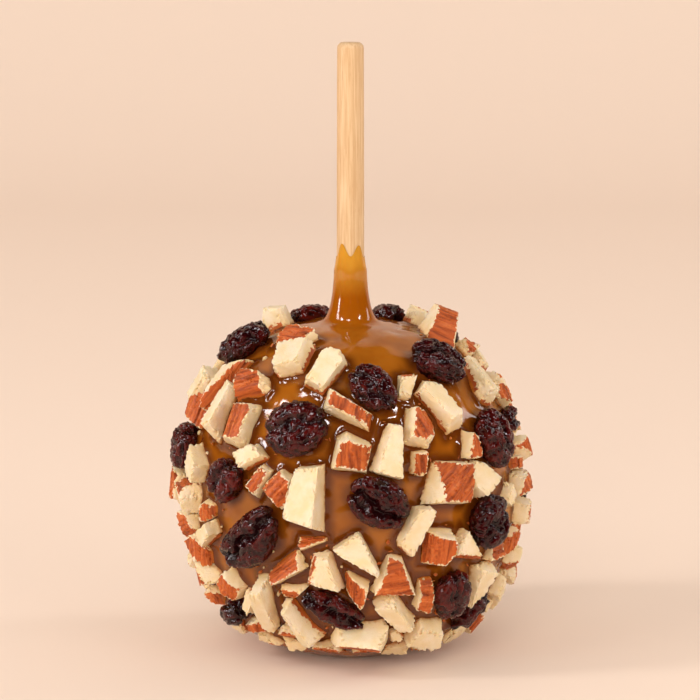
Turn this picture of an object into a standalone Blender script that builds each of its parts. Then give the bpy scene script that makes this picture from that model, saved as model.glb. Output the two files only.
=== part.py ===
"""A caramel apple on a wooden stick, rolled in chopped almonds and dried cherries.

It stands on its blossom end with the stick up. The origin is on the floor, on the stick's axis; the front
of the apple looks along -Y. Run with: blender --background --python part.py
"""

import math
import random

import bmesh
import bpy
import numpy as np
from mathutils import Matrix, Vector

MM = 0.001

# Apple and caramel together: a superellipse that is deeper below its equator than above it.
EQUATOR_RADIUS = 38.5 * MM
EQUATOR_HEIGHT = 42.0 * MM
CROWN_DEPTH = 36.2 * MM
CROWN_POWER = 2.2
BASE_DEPTH = 43.2 * MM
BASE_POWER = 2.5

# The caramel collar that the dip leaves on the stick.
COLLAR_TOP = 93.5 * MM
COLLAR_RIM_RADIUS = 3.85 * MM
COLLAR_RADIUS = 3.7 * MM
COLLAR_HEIGHT = 82.9 * MM
COLLAR_SWELL = 0.85 * MM
COLLAR_FADE = 4.5 * MM
COLLAR_BLEND = 0.7 * MM
COLLAR_REACH = 14.0 * MM

# The stick: a birch dowel of 4.5 in by 1/4 in, a little thicker at its lower end.
STICK_TOP = 143.3 * MM
STICK_LENGTH = 114.3 * MM
STICK_TOP_RADIUS = 3.1 * MM
STICK_RADIUS = 3.25 * MM
STICK_CHAMFER = 1.0 * MM
FIT_GAP = 0.25 * MM

COAT_STEPS = 28
STICK_STEPS = 24
CHERRY_SIDES, CHERRY_RINGS = 8, 5

# Toppings.
SUNK = 1.8 * MM
TOPPING_GAP = 0.35 * MM
POCKET_GAP = 0.3 * MM
FLOOR_GAP = 1.0 * MM
SKIN_STEP = math.radians(24)
SKIN_FACETS = 4
SKIN_BEND = 5.5 * MM
FLAT_ENOUGH = math.radians(0.5)
LEAST_LEFT = 0.3
ALMOND_NODES = 26

# Dried cherries on the side that faces front: bearing and latitude of the seat in degrees, then length,
# width and thickness in mm, the turn of the length from level in degrees, fold depth and curl in mm.
FRONT_CHERRIES = (
    (-77, 51, 15.0, 12.0, 8.5, 80, 0.8, 0.0),
    (-147, 63, 12.0, 9.0, 7.0, 0, 0.6, 0.0),
    (149, 63, 10.0, 8.5, 7.0, -20, 0.5, 0.0),
    (46, 46, 15.5, 13.0, 8.5, -35, 0.9, 0.0),
    (9, 38, 14.5, 10.5, 8.0, -60, 0.5, 0.0),
    (-19, 24, 16.5, 14.0, 8.5, 12, 0.6, 0.0),
    (-76, 11, 12.5, 11.0, 8.0, 50, 1.0, 0.8),
    (-45, 5, 11.5, 10.5, 8.0, 55, 0.8, 0.0),
    (-33, -14, 20.5, 11.5, 9.0, 43, 1.2, 2.8),
    (9, 1, 16.0, 12.5, 8.5, -30, 1.6, 0.0),
    (57, 17, 15.0, 12.5, 8.5, -77, 0.8, 0.0),
    (80, 20, 8.0, 7.0, 6.5, 0, 0.5, 0.0),
    (52, -10, 13.5, 14.0, 8.5, 25, 0.7, 0.0),
    (-50, -40, 8.5, 7.5, 8.0, 20, 0.8, 0.0),
    (-6, -35, 17.5, 8.0, 7.5, -31, 1.8, 0.0),
    (38, -32, 13.5, 10.5, 8.5, -84, 0.6, 0.0),
    (56, -42, 14.0, 7.5, 6.5, 49, 0.8, -1.4),
    (103, -8, 14.0, 11.0, 7.5, 35, 1.0, 0.0),
    (-103, 4, 13.0, 10.5, 7.0, -50, 0.8, 0.0),
    (-113, -27, 13.5, 10.0, 7.0, 20, 1.4, 0.0),
)
BACK_CHERRIES = 12
CHERRY_ROOM = 7.2 * MM

# Pieces of chopped almond on the same side: bearing and latitude, then length, width and depth in mm, the
# turn of the length, how much narrower its forward end is (below zero, its rear end), and where the brown
# skin looks: its facing in degrees and its tilt out of the coat.
FRONT_ALMONDS = (
    (-108, 62, 8.0, 7.0, 7.5, 10, 0.1, None),
    (-43, 63, 9.5, 4.8, 4.5, -2, 0.2, (270, 60)),
    (-32, 50, 9.5, 8.0, 6.0, -78, 0.0, None),
    (-11, 45, 10.5, 7.2, 6.0, 68, -0.1, None),
    (-66, 42, 10.0, 5.0, 5.0, 25, 0.1, (-10, 30)),
    (-47, 38, 11.5, 6.5, 5.0, -2, 0.2, (290, 55)),
    (-82, 31, 9.5, 6.5, 5.5, 60, -0.1, None),
    (-74, 21, 10.5, 5.5, 5.0, -75, 0.1, (0, 55)),
    (-54, 27, 13.0, 6.5, 6.0, 84, 0.1, None),
    (-43, 24, 10.5, 8.0, 5.5, 78, 0.1, (180, 60)),
    (-63, 7, 6.5, 7.5, 5.5, 63, 0.1, None),
    (-83, -3, 8.5, 7.0, 6.0, 75, 0.0, (180, 70)),
    (-36, 13, 8.5, 6.0, 5.0, 30, 0.1, None),
    (-30, 6, 7.5, 5.5, 5.0, 58, 0.1, (-30, 75)),
    (-23, 5, 7.5, 7.0, 5.0, 46, 0.1, (135, 75)),
    (-14, 3, 14.0, 10.0, 7.0, 86, 0.3, None),
    (-69, -5, 8.5, 9.0, 6.0, 75, 0.0, (90, 20)),
    (-69, -13, 7.0, 6.0, 5.0, 12, 0.0, (300, 45)),
    (-56, -7, 5.0, 3.5, 4.0, 85, 0.0, (0, 50)),
    (-57, -14, 8.0, 6.0, 5.0, 35, 0.1, None),
    (-63, -20, 6.5, 5.5, 4.5, -45, 0.0, (0, 45)),
    (-61, -29, 9.0, 8.0, 6.0, -80, 0.0, (180, 70)),
    (-47, -31, 7.0, 6.0, 5.5, 50, 0.0, (330, 60)),
    (-41, -36, 7.5, 4.0, 4.5, 65, 0.0, None),
    (-31, -36, 15.5, 5.8, 6.0, 84, 0.1, (250, 0)),
    (-27, -46, 5.0, 4.5, 4.0, -30, 0.0, (270, 60)),
    (-21, -41, 12.5, 6.0, 6.0, -66, -0.3, None),
    (-21, -24, 10.5, 5.5, 5.5, 31, 0.0, (130, 50)),
    (-12, -16, 8.0, 6.0, 5.0, 20, 0.1, (90, 50)),
    (-7, -22, 9.0, 11.0, 6.0, 82, 0.7, (160, 35)),
    (1, 16, 8.5, 9.0, 5.5, 78, 0.0, (0, 60)),
    (0, 32, 12.5, 6.5, 5.5, -27, 0.0, (-10, 45)),
    (25, 39, 7.0, 5.0, 4.5, 66, -0.1, (90, 40)),
    (35, 31, 12.5, 6.4, 6.5, -66, 0.0, None),
    (68, 37, 12.5, 5.2, 5.2, 62, 0.1, None),
    (88, 58, 8.5, 6.5, 9.5, 90, 0.2, (180, 60)),
    (116, 64, 6.0, 4.5, 5.0, 0, 0.0, None),
    (96, 46, 5.5, 5.0, 5.0, 30, 0.0, (180, 70)),
    (84, 28, 5.5, 5.0, 4.5, 60, 0.0, (180, 60)),
    (25, 24, 8.5, 6.5, 5.5, 72, 0.0, (20, 60)),
    (14, 17, 12.5, 8.0, 6.0, 74, 0.5, None),
    (24, 14, 7.5, 4.0, 4.2, 80, 0.0, (180, 80)),
    (36, 5, 14.0, 12.5, 7.0, -8, 0.0, (125, 80)),
    (49, 4, 10.5, 7.5, 5.5, -43, 0.0, None),
    (22, -9, 12.5, 6.0, 5.5, 63, 0.0, None),
    (3, -18, 11.0, 8.5, 6.0, -47, 0.6, None),
    (14, -25, 11.0, 13.5, 6.5, 88, 0.7, (100, 88)),
    (30, -16, 9.0, 6.0, 5.0, 64, 0.1, (180, 30)),
    (43, -16, 8.0, 7.0, 5.5, -60, 0.0, (260, 20)),
    (3, -30, 7.5, 5.8, 5.0, 75, 0.0, (180, 45)),
    (17, -37, 11.5, 6.5, 6.0, -48, 0.1, None),
    (33, -47, 9.5, 7.0, 5.5, -5, 0.1, None),
    (4, -45, 13.0, 7.5, 6.0, 0, 0.0, (270, 30)),
    (18, -47, 4.5, 4.0, 4.0, 25, 0.0, None),
    (27, -32, 7.0, 6.0, 5.0, 85, 0.0, (90, 50)),
    (53, -32, 11.0, 7.0, 5.0, 80, -0.6, None),
    (60, -23, 6.5, 4.0, 4.5, -5, 0.0, (90, 60)),
    (84, -27, 7.0, 6.5, 5.5, 80, 0.0, (240, 30)),
    (77, -20, 4.5, 4.5, 4.5, 40, 0.0, (180, 60)),
    (76, -1, 7.0, 6.0, 6.5, 10, 0.0, (60, 80)),
    (86, -13, 6.5, 6.0, 6.2, 90, 0.0, (0, 80)),
    (93, -19, 5.0, 4.5, 4.5, 0, 0.0, (180, 60)),
    (66, -4, 5.0, 4.5, 4.5, 60, 0.0, None),
    (90, 8, 7.0, 5.0, 6.0, -50, 0.0, (180, 60)),
    (78, 5, 5.0, 4.0, 4.0, 0, 0.0, (180, 60)),
    (78, -37, 6.0, 5.0, 5.0, 60, 0.0, None),
    (77, -44, 6.0, 4.5, 4.5, 50, 0.0, (330, 40)),
    (-65, -37, 5.0, 4.0, 4.0, 30, 0.0, (330, 50)),
    (-42, -45, 5.0, 4.5, 4.0, 10, 0.0, (0, 50)),
    (-19, -30, 8.0, 3.5, 4.2, 5, 0.0, (270, 70)),
    (92, -34, 7.5, 6.5, 6.5, 70, 0.0, (90, 50)),
    (91, -42, 6.5, 6.0, 6.0, 30, 0.0, None),
    (84, -51, 6.5, 5.5, 5.0, -30, 0.0, (180, 50)),
    (-96, -38, 6.5, 5.5, 4.0, 10, 0.0, None),
    (-62, -48, 7.0, 6.0, 3.8, -15, 0.0, None),
    (-43, -52, 7.5, 4.5, 3.6, 20, 0.0, (270, 45)),
    (-27, -53, 6.0, 4.5, 3.4, -10, 0.2, None),
    (-11, -53, 8.0, 4.0, 3.4, 12, 0.0, (270, 45)),
    (8, -54, 7.0, 4.0, 3.4, -8, 0.0, (270, 50)),
    (24, -55, 6.5, 4.0, 3.4, 15, 0.0, None),
    (42, -55, 7.5, 4.5, 3.6, -5, 0.0, (270, 45)),
    (62, -53, 7.0, 5.0, 3.8, 10, 0.0, None),
    (45, 16, 6.5, 5.2, 5.2, 75, 0.0, (180, 78)),
)
BACK_ALMONDS = 72
ALMOND_FROM, CHERRY_FROM = 97, 118
BACK_LOW, BACK_HIGH = -54, 62
SIDE_TO = 113
SIDE_LOW, SIDE_HIGH = -36, 42
BACK_TRIES = 8000
ALMOND_ROOM = 3.5 * MM


# ---------------------------------------------------------------- the coat's form


def dome_height(radius):
    """Height of the crown above the floor at this distance from the axis."""
    across = (radius / EQUATOR_RADIUS) ** CROWN_POWER
    return EQUATOR_HEIGHT + CROWN_DEPTH * (1 - across) ** (1 / CROWN_POWER)


def collar_height(radius):
    """Height of the collar where it is this wide."""
    return COLLAR_HEIGHT - COLLAR_FADE * math.log((radius - COLLAR_RADIUS) / COLLAR_SWELL)


def crown_height(radius):
    """The dome and the collar run into each other in one smooth hollow."""
    dome, collar = dome_height(radius), collar_height(radius)
    top = max(dome, collar)
    sum_of_both = math.exp((dome - top) / COLLAR_BLEND) + math.exp((collar - top) / COLLAR_BLEND)
    return min(COLLAR_TOP, top + COLLAR_BLEND * math.log(sum_of_both))


def coat_reach(latitude):
    """Distance from the equator's centre to the coat's surface at this latitude."""
    depth, power = (CROWN_DEPTH, CROWN_POWER) if latitude > 0 else (BASE_DEPTH, BASE_POWER)
    across = abs(math.cos(latitude) / EQUATOR_RADIUS) ** power
    along = abs(math.sin(latitude) / depth) ** power
    return (across + along) ** (-1 / power)


def foot_latitude():
    """Latitude at which the coat meets the floor, found by halving."""
    low, high = math.radians(-89), math.radians(-45)
    for _ in range(40):
        middle = (low + high) / 2
        if EQUATOR_HEIGHT + coat_reach(middle) * math.sin(middle) < 0:
            low = middle
        else:
            high = middle
    return high


def seat(bearing, latitude):
    """A frame on the coat: its columns are right, up and outward as seen from outside, and the seat itself."""
    reach = coat_reach(latitude)
    radius, rise = reach * math.cos(latitude), reach * math.sin(latitude)
    depth, power = (CROWN_DEPTH, CROWN_POWER) if latitude > 0 else (BASE_DEPTH, BASE_POWER)
    slope_out = (radius / EQUATOR_RADIUS) ** (power - 1) / EQUATOR_RADIUS
    slope_up = math.copysign((abs(rise) / depth) ** (power - 1) / depth, rise)
    ahead = Vector((math.sin(bearing), -math.cos(bearing), 0))
    out = (ahead * slope_out + Vector((0, 0, slope_up))).normalized()
    right = Vector((math.cos(bearing), math.sin(bearing), 0))
    up = out.cross(right)
    place = ahead * radius + Vector((0, 0, EQUATOR_HEIGHT + rise))
    frame = Matrix((right, up, out)).transposed().to_4x4()
    frame.translation = place
    return frame


# ---------------------------------------------------------------- scene, materials, turned pieces


def clear_scene():
    for obj in list(bpy.data.objects):
        bpy.data.objects.remove(obj)


def new_collection(name):
    collection = bpy.data.collections.new(name)
    bpy.context.scene.collection.children.link(collection)
    return collection


def material(name, colour, roughness, coat=0.0):
    made = bpy.data.materials.new(name)
    made.use_nodes = True
    shader = made.node_tree.nodes["Principled BSDF"]
    shader.inputs["Base Color"].default_value = (*colour, 1)
    shader.inputs["Roughness"].default_value = roughness
    shader.inputs["Metallic"].default_value = 0
    shader.inputs["Coat Weight"].default_value = coat
    return made


def new_object(name, mesh, collection, *materials):
    obj = bpy.data.objects.new(name, mesh)
    for each in materials:
        mesh.materials.append(each)
    collection.objects.link(obj)
    return obj


def turned(name, outline, steps, collection, *materials):
    """A solid of revolution about Z from an outline of (radius, height) that starts and ends on the axis."""
    mesh = bpy.data.meshes.new(name)
    points = [(radius, 0, height) for radius, height in outline]
    mesh.from_pydata(points, [(i, i + 1) for i in range(len(points) - 1)], [])
    obj = new_object(name, mesh, collection, *materials)
    screw = obj.modifiers.new("turn", "SCREW")
    screw.steps = screw.render_steps = steps
    screw.use_merge_vertices = True
    screw.merge_threshold = 0.00001
    return obj


def coat_outline():
    """From the bottom of the stick's bore, up the bore, over the collar's rim and down the outside."""
    bore = STICK_RADIUS + FIT_GAP
    bore_end = STICK_TOP - STICK_LENGTH - FIT_GAP
    outline = [(0, bore_end), (bore, bore_end), (bore, COLLAR_TOP)]
    rows = 8
    for row in range(rows + 1):
        share = (row / rows) ** 2
        radius = COLLAR_RIM_RADIUS + (COLLAR_REACH - COLLAR_RIM_RADIUS) * share
        outline.append((radius, crown_height(radius)))
    start = math.atan2(dome_height(COLLAR_REACH) - EQUATOR_HEIGHT, COLLAR_REACH)
    end = foot_latitude()
    rows = 14
    for row in range(1, rows + 1):
        latitude = start + (end - start) * row / rows
        reach = coat_reach(latitude)
        outline.append((reach * math.cos(latitude), EQUATOR_HEIGHT + reach * math.sin(latitude)))
    outline[-1] = (outline[-1][0], 0)
    outline.append((0, 0))
    return outline


def stick_outline():
    bottom = STICK_TOP - STICK_LENGTH
    return [
        (0, STICK_TOP),
        (STICK_TOP_RADIUS - STICK_CHAMFER, STICK_TOP),
        (STICK_TOP_RADIUS, STICK_TOP - STICK_CHAMFER),
        (STICK_RADIUS, COLLAR_TOP),
        (STICK_RADIUS, bottom),
        (0, bottom),
    ]


# ---------------------------------------------------------------- toppings


class Topping:
    """One almond piece or cherry: a closed bmesh in the part's frame, with its corners as an array."""

    def __init__(self, kind, form, place):
        self.kind = kind
        self.form = form
        self.centre = place
        self.update()
        self.first_volume = self.volume

    def update(self):
        self.corners = np.array([tuple(v.co) for v in self.form.verts])
        self.normals = [f.normal.copy() for f in self.form.faces]
        self.radius = float(np.linalg.norm(self.corners - np.array(self.centre), axis=1).max())
        self.volume = abs(self.form.calc_volume())

    def trim(self, normal, distance):
        """Takes off what lies beyond a plane: an almond is cut there, and a soft cherry is pressed flat."""
        if self.kind == "almond":
            slice_off(self.form, normal, distance)
        else:
            for v in self.form.verts:
                v.co -= normal * max(0.0, normal.dot(v.co) - distance)
            self.form.normal_update()
        self.update()


def slice_off(form, normal, distance, material_index=0):
    """Cuts a convex bmesh at a plane and closes it with one new face."""
    everything = form.verts[:] + form.edges[:] + form.faces[:]
    cut = bmesh.ops.bisect_plane(
        form,
        geom=everything,
        dist=1e-7,
        plane_co=normal * distance,
        plane_no=normal,
        clear_outer=True,
    )
    rim = [e for e in cut["geom_cut"] if isinstance(e, bmesh.types.BMEdge) and e.is_boundary]
    if len(rim) > 2:
        for face in bmesh.ops.contextual_create(form, geom=rim)["faces"]:
            face.material_index = material_index
    bmesh.ops.recalc_face_normals(form, faces=form.faces)


def flat_direction(angle):
    return Vector((math.cos(angle), math.sin(angle), 0))


def almond_planes(length, width, depth, narrowing, skin, chance):
    """The knife's cuts and the almond's rounded outside, as (normal, distance, is it skin) about the piece's
    centre. X runs along the piece, Y across it and Z out of the coat."""
    half = (length / 2, width / 2, depth / 2)
    below = -half[2] * 0.4
    slope = width * abs(narrowing) / 2 / length
    middle_width = half[1] * (1 - abs(narrowing) / 2)
    cuts = []
    for side in (-1, 1):
        skew = chance.uniform(-0.36, 0.36)
        lean = chance.uniform(0.0, 0.25)
        cuts.append((Vector((side, skew, lean)).normalized(), Vector((side * half[0], 0, below))))
        turn_in = math.copysign(slope, narrowing) + chance.uniform(-0.07, 0.07)
        lean = chance.uniform(0.0, 0.22)
        cuts.append((Vector((turn_in, side, lean)).normalized(), Vector((0, side * middle_width, below))))
    roof = Vector((chance.uniform(-0.22, 0.22), chance.uniform(-0.3, 0.3), 1)).normalized()
    cuts.append((roof, Vector((0, 0, half[2]))))
    cuts.append((Vector((0, 0, -1)), Vector((0, 0, -half[2]))))
    for quarter in chance.sample(range(4), 2):
        angle = math.radians(90 * quarter + chance.uniform(28, 62))
        normal = Vector((math.cos(angle), math.sin(angle), chance.uniform(0.1, 0.6))).normalized()
        corner = Vector([math.copysign(h, n) for h, n in zip(half, normal)])
        cuts.append((normal, corner * chance.uniform(0.68, 0.82)))
    planes = [(normal, normal.dot(point), False) for normal, point in cuts]
    if skin is None:
        return planes
    facing, tilt = skin
    sideways = flat_direction(facing)
    middle = sideways * math.cos(tilt) + Vector((0, 0, math.sin(tilt)))
    planes = [p for p in planes if p[0].dot(middle) < 0.55]
    reach = math.sqrt(sum((h * m) ** 2 for h, m in zip(half, middle)))
    centre = middle * (reach - SKIN_BEND)
    for facet in range(SKIN_FACETS):
        angle = tilt + (facet - (SKIN_FACETS - 1) / 2) * SKIN_STEP
        normal = sideways * math.cos(angle) + Vector((0, 0, math.sin(angle)))
        planes.append((normal, SKIN_BEND + normal.dot(centre), True))
    return planes


def chop_almond(bearing, latitude, length, width, depth, turn, narrowing, skin, name):
    """A piece of almond on its seat, cut from a blank by its planes."""
    chance = random.Random(name)
    length, width, depth = length * MM, width * MM, depth * MM
    if skin is not None:
        skin = (math.radians(skin[0] - turn), math.radians(skin[1]))
    form = bmesh.new()
    bmesh.ops.create_cube(form, size=4 * max(length, width))
    for normal, distance, is_skin in almond_planes(length, width, depth, narrowing, skin, chance):
        slice_off(form, normal, distance, int(is_skin))
    lean = Matrix.Rotation(math.radians(chance.uniform(-10, 10)), 4, "X")
    pitch = Matrix.Rotation(math.radians(chance.uniform(-10, 10)), 4, "Y")
    spin = Matrix.Rotation(math.radians(turn), 4, "Z")
    rise = Matrix.Translation((0, 0, depth / 2 - SUNK))
    frame = seat(math.radians(bearing), math.radians(latitude)) @ rise @ spin @ lean @ pitch
    form.transform(frame)
    return Topping("almond", form, frame.translation.copy())


def mould_cherry(bearing, latitude, length, width, thick, turn, fold, curl, name):
    """A dried cherry: a lumpy ellipsoid with a crease along its top, which may curl like a bean."""
    chance = random.Random(name)
    half = Vector((length, width, thick)) * MM / 2
    form = bmesh.new()
    bmesh.ops.create_uvsphere(form, u_segments=CHERRY_SIDES, v_segments=CHERRY_RINGS, radius=1)
    form.transform(Matrix.Rotation(math.pi / 2, 4, "Y"))
    for v in form.verts:
        x, y, z = v.co
        lump = chance.uniform(0.93, 1.05)
        crease = fold * MM * math.exp(-((y / 0.25) ** 2)) * max(0.0, z) * (1 - x * x)
        v.co = Vector((
            x * half.x * lump,
            y * half.y * lump + curl * MM * x * x,
            z * half.z * lump - crease,
        ))
    spin = Matrix.Rotation(math.radians(turn), 4, "Z")
    rise = Matrix.Translation((0, 0, half.z - SUNK))
    frame = seat(math.radians(bearing), math.radians(latitude)) @ rise @ spin
    form.transform(frame)
    return Topping("cherry", form, frame.translation.copy())


def spread_over_back(count, side_edge, least_apart, chance, taken):
    """Seats on the side that faces away, each at least this far from those taken, fewer near the crown."""
    found = []
    for _ in range(BACK_TRIES):
        if len(found) == count:
            break
        bearing = chance.uniform(side_edge, 360 - side_edge)
        low, high = math.sin(math.radians(BACK_LOW)), math.sin(math.radians(BACK_HIGH))
        latitude = math.degrees(math.asin(chance.uniform(low, high)))
        if chance.random() < max(0.0, (latitude - 20) / 60):
            continue
        on_side = not SIDE_TO < bearing < 360 - SIDE_TO
        if on_side and not SIDE_LOW < latitude < SIDE_HIGH:
            continue
        here = seat(math.radians(bearing), math.radians(latitude)).translation
        if all((here - other).length > least_apart + own for other, own in taken):
            found.append((bearing if bearing <= 180 else bearing - 360, latitude))
            taken.append((here, least_apart))
    return found


def front_and_back():
    """All the toppings, the front ones from their tables and the others spread by a seeded draw."""
    chance = random.Random(41)
    cherries = [mould_cherry(*row, f"cherry {i}") for i, row in enumerate(FRONT_CHERRIES)]
    almonds = [chop_almond(*row, f"almond {i}") for i, row in enumerate(FRONT_ALMONDS)]
    taken = [(seat(math.radians(row[0]), math.radians(row[1])).translation, 3.6 * MM) for row in FRONT_CHERRIES]
    beside = [(seat(math.radians(row[0]), math.radians(row[1])).translation, 0.8 * MM) for row in FRONT_ALMONDS]
    spots = spread_over_back(BACK_CHERRIES, CHERRY_FROM, CHERRY_ROOM, chance, taken)
    for i, (bearing, latitude) in enumerate(spots):
        length = chance.uniform(10.5, 16.5)
        row = (bearing, latitude, length, length * chance.uniform(0.7, 0.88), chance.uniform(7.5, 8.8),
               chance.uniform(-90, 90), chance.uniform(0.4, 1.6), chance.choice((0, 0, 0, 1.8)))
        cherries.append(mould_cherry(*row, f"cherry {len(FRONT_CHERRIES) + i}"))
    taken = [(c.centre, 4.2 * MM) for c in cherries] + beside
    spots = spread_over_back(BACK_ALMONDS, ALMOND_FROM, ALMOND_ROOM, chance, taken)
    for i, (bearing, latitude) in enumerate(spots):
        on_side = abs(bearing) < SIDE_TO
        length = chance.uniform(5.5, 8.5) if on_side else chance.uniform(7.0, 14.0)
        skin = (chance.uniform(0, 360), chance.uniform(0, 80)) if chance.random() < 0.6 else None
        depth = chance.uniform(4.0, 4.6) if on_side else chance.uniform(4.8, 6.4)
        row = (bearing, latitude, length, max(4.5, length * chance.uniform(0.52, 0.82)), depth,
               chance.uniform(-90, 90), chance.uniform(-0.4, 0.4), skin)
        almonds.append(chop_almond(*row, f"almond {len(FRONT_ALMONDS) + i}"))
    return cherries, almonds


def overlap_along(one, other, axis):
    """How far the two reach into each other along an axis that points from one to the other, and the middle."""
    end = float((one.corners @ axis).max())
    start = float((other.corners @ axis).min())
    return end - start, (end + start) / 2


def keep_apart(toppings):
    """Trims each pair that crowd each other at a plane between them. An almond gives way to a cherry."""
    for i, one in enumerate(toppings):
        for other in toppings[i + 1:]:
            line = other.centre - one.centre
            if line.length > one.radius + other.radius:
                continue
            best = None
            for normal in [line.normalized(), *one.normals, *[-n for n in other.normals]]:
                if normal.dot(line) < 0.2 * line.length:
                    continue
                deep, middle = overlap_along(one, other, np.array(normal))
                if best is None or deep < best[0]:
                    best = (deep, middle, normal)
            deep, middle, normal = best
            if deep + TOPPING_GAP <= 0:
                continue
            room = TOPPING_GAP / 2
            if one.kind == "cherry" and other.kind == "almond":
                middle += deep / 2 + room
            if one.kind == "almond" and other.kind == "cherry":
                middle -= deep / 2 + room
            one.trim(normal, middle - room)
            other.trim(-normal, -(middle + room))


def stand_on_floor(toppings):
    down = Vector((0, 0, -1))
    for topping in toppings:
        if topping.corners[:, 2].min() < FLOOR_GAP:
            topping.trim(down, -FLOOR_GAP)


def wrapping(topping, by):
    """The pocket that a topping sits in: its convex hull with every face moved out."""
    form = bmesh.new()
    corners = [form.verts.new(v.co) for v in topping.form.verts]
    hull = bmesh.ops.convex_hull(form, input=corners)
    idle = {g for g in hull["geom_interior"] + hull["geom_unused"] if isinstance(g, bmesh.types.BMVert)}
    bmesh.ops.delete(form, geom=list(idle), context="VERTS")
    bmesh.ops.dissolve_limit(form, angle_limit=FLAT_ENOUGH, verts=form.verts, edges=form.edges)
    bmesh.ops.recalc_face_normals(form, faces=form.faces)
    shifts = [v.normal * min(2.0, v.calc_shell_factor()) * by for v in form.verts]
    for v, shift in zip(form.verts, shifts):
        v.co += shift
    return form


def mesh_of(form, name):
    mesh = bpy.data.meshes.new(name)
    form.to_mesh(mesh)
    return mesh


def helper(name, mesh, collection, *materials):
    """A cutter, or a piece that a Boolean joins to the coat."""
    obj = new_object(name, mesh, collection, *materials)
    obj.hide_render = True
    obj.display_type = "WIRE"
    return obj


def combine(target, collection, operation):
    boolean = target.modifiers.new(collection.name, "BOOLEAN")
    boolean.operation = operation
    boolean.operand_type = "COLLECTION"
    boolean.collection = collection
    boolean.solver = "EXACT"
    boolean.material_mode = "TRANSFER"


def main():
    clear_scene()
    parts = new_collection("caramel_apple")
    set_in = new_collection("almonds_set_in_the_coat")
    pockets = new_collection("pockets")

    caramel = material("caramel", (0.42, 0.17, 0.035), 0.22, coat=1.0)
    birch = material("birch", (0.78, 0.56, 0.32), 0.6)
    flesh = material("almond_flesh", (0.86, 0.72, 0.44), 0.6)
    skin = material("almond_skin", (0.38, 0.13, 0.05), 0.7)
    cherry = material("dried_cherry", (0.05, 0.008, 0.012), 0.25, coat=0.6)

    coat = turned("coated_apple", coat_outline(), COAT_STEPS, parts, caramel, flesh, skin)
    turned("stick", stick_outline(), STICK_STEPS, parts, birch)

    cherries, almonds = front_and_back()
    keep_apart(cherries + almonds)
    stand_on_floor(cherries + almonds)
    almonds = [a for a in almonds if a.volume > LEAST_LEFT * a.first_volume]
    almonds.sort(key=lambda a: a.volume, reverse=True)

    own_nodes = [("cherry", t, (cherry,)) for t in cherries]
    own_nodes += [("almond", t, (flesh, skin)) for t in almonds[:ALMOND_NODES]]
    numbers = {"cherry": 0, "almond": 0}
    for kind, topping, looks in own_nodes:
        numbers[kind] += 1
        name = f"{kind}_{numbers[kind]:02d}"
        piece = new_object(name, mesh_of(topping.form, name), parts, *looks)
        if kind == "cherry":
            piece.data.shade_smooth()
        pocket = mesh_of(wrapping(topping, POCKET_GAP), name + "_pocket")
        helper(name + "_pocket", pocket, pockets, caramel)
    for number, topping in enumerate(almonds[ALMOND_NODES:], 1):
        name = f"set_almond_{number:03d}"
        helper(name, mesh_of(topping.form, name), set_in, flesh, skin)

    combine(coat, set_in, "UNION")
    combine(coat, pockets, "DIFFERENCE")


main()
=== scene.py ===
"""Looks of the caramel apple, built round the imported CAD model.

Every topping takes its place and form from its CAD solid: a piece of almond from the flat faces of its
solid, a dried cherry from its lumpy form. Lengths in the code below are millimetres until a mesh is made.
"""

import itertools
import math

import bmesh
import bpy
import numpy as np
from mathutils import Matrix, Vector
from mathutils.bvhtree import BVHTree


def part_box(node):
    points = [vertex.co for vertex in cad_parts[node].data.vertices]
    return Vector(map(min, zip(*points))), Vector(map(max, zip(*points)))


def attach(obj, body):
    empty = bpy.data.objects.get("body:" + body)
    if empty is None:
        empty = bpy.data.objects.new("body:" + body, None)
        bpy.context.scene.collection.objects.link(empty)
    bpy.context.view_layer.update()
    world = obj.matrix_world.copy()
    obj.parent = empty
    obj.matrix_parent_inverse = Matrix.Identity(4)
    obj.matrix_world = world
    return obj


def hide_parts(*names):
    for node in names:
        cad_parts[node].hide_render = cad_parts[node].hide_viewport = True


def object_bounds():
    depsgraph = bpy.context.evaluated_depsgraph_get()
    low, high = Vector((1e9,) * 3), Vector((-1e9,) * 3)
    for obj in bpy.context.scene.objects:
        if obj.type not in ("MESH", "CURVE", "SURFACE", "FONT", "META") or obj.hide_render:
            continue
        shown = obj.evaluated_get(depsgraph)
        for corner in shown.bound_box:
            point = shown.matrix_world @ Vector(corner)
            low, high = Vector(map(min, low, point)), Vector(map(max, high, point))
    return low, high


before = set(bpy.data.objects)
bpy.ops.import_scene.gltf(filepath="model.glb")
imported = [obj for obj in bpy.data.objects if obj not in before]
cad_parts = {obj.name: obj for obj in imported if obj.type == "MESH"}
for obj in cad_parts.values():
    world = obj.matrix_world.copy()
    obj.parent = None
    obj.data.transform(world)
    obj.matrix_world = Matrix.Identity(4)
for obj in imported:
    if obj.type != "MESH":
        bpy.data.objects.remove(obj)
cad_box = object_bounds()

MM = 0.001
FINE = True

# Almonds: edge lengths of the mesh, how rough the cuts and broken sides are, the chips along the edges.
ALMOND_EDGE = 0.36 if FINE else 0.6
BACK_EDGE = 0.5 if FINE else 0.9
SIDE_ROUGHNESS = 0.32
CUT_ROUGHNESS = 0.08
CHIP_DEPTH = 0.6
CHIP_WIDTH = 0.45
CHIP_SIZE = 0.8
SKIN_STEP = math.radians(24)
SKIN_RADIUS = 5.56
SKIN_RIDGES = 0.2
SUNK = 1.7
PIECE_LIMIT = 180000

# Cherries.
CHERRY_EDGE = 0.3 if FINE else 0.6
BACK_CHERRY_EDGE = 0.5 if FINE else 0.9

# Caramel.
FILM_RISE = 5.8
MENISCUS = 0.6
MENISCUS_WIDTH = 0.7
FAR = 5.0

# Crumbs of almond on the caramel.
CRUMBS = 420 if FINE else 120
CRUMB_TRIES = 30000


# ---------------------------------------------------------------- smooth noise

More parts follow.
